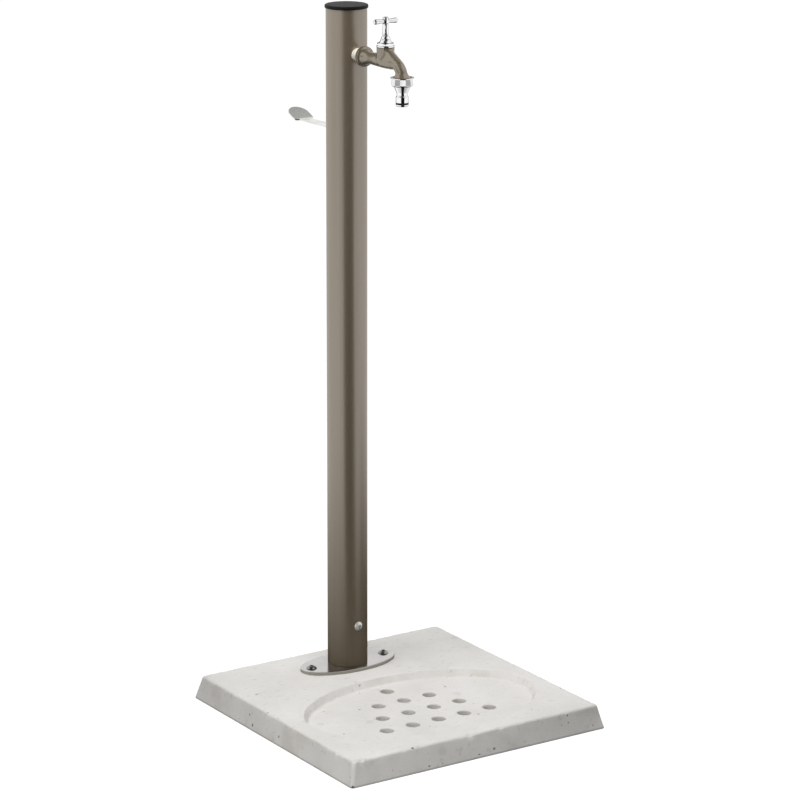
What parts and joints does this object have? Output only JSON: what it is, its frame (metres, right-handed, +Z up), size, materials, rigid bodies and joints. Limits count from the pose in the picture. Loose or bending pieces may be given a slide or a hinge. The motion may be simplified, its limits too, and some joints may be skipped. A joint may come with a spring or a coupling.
{
  "type": "garden standpipe",
  "caption": "Free-standing garden standpipe: round column with a bib tap and push-fit hose nipple, a hose hook at the back and a square stone tray with an oval drained recess.",
  "frame": {"origin": "middle of the tray's underside, on the ground", "axes": "+Z up, the tap points along -Y, the hose hook along +Y, +X along the tray's back edge"},
  "size_m": [0.44, 0.5015, 1.036],
  "materials": {
    "cast_stone": "off-white cast stone with fine grey and brown specks",
    "polished_steel": "polished stainless steel",
    "screw_steel": "bright stainless steel",
    "spigot_aluminium": "plain turned aluminium",
    "column_paint": "satin metallic taupe powder coat on aluminium tube",
    "tap_paint": "satin metallic taupe paint on cast brass",
    "cap_plastic": "satin black moulded plastic",
    "chrome": "chrome plate on brass",
    "brass": "plain machined brass",
    "copper": "plain drawn copper",
    "nylon": "cream-white nylon",
    "seal_rubber": "black rubber"
  },
  "bodies": {
    "stand": {"base_tray": "cast_stone", "tray_inserts": "brass", "base_plate": "polished_steel", "plate_screws": "screw_steel", "column_spigot": "spigot_aluminium", "spigot_screws": "screw_steel", "column_tube": "column_paint", "clamp_screw": "screw_steel", "column_cap": "cap_plastic", "inlet_coupling": "brass", "inlet_lock_nut": "brass", "riser_pipe": "copper", "compression_nuts": "brass", "compression_olives": "copper", "pipe_elbow": "brass", "inner_saddle": "nylon", "saddle_spacer": "nylon", "tap_body": "tap_paint", "bonnet_gasket": "seal_rubber", "bonnet": "chrome", "hose_hook": "polished_steel", "hook_screws": "screw_steel", "hook_inserts": "screw_steel"},
    "valve": {"jumper_valve": "brass", "valve_washer": "seal_rubber", "washer_nut": "brass"},
    "tap_handle": {"spindle": "brass", "spindle_o_rings": "seal_rubber", "handle": "chrome", "handle_screw": "screw_steel"},
    "adapter_seal": {"adapter_washer": "seal_rubber"},
    "adapter": {"hose_adapter": "chrome", "nipple_o_ring": "seal_rubber"}
  },
  "joints": [
    {"name": "valve_rise", "type": "slide", "parent": "stand", "child": "valve", "axis": [0, 0, 1], "range_m": [0, 0.005]},
    {"name": "handle_turn", "type": "hinge", "parent": "valve", "child": "tap_handle", "pos_m": [0, 0.034, 0.9665], "axis": [0, 0, 1], "range_deg": [0, 720]},
    {"name": "adapter_drop", "type": "slide", "parent": "stand", "child": "adapter_seal", "axis": [0, 0, -1], "range_m": [0, 0.00816]},
    {"name": "adapter_turn", "type": "hinge", "parent": "adapter_seal", "child": "adapter", "pos_m": [0, -0.009, 0.9665], "axis": [0, 0, -1], "range_deg": [0, 1620]}
  ],
  "couplings": [
    {"joint": "handle_turn", "follows": "valve_rise", "rad_per_m": 2513.3},
    {"joint": "adapter_turn", "follows": "adapter_drop", "rad_per_m": 3463.7}
  ]
}
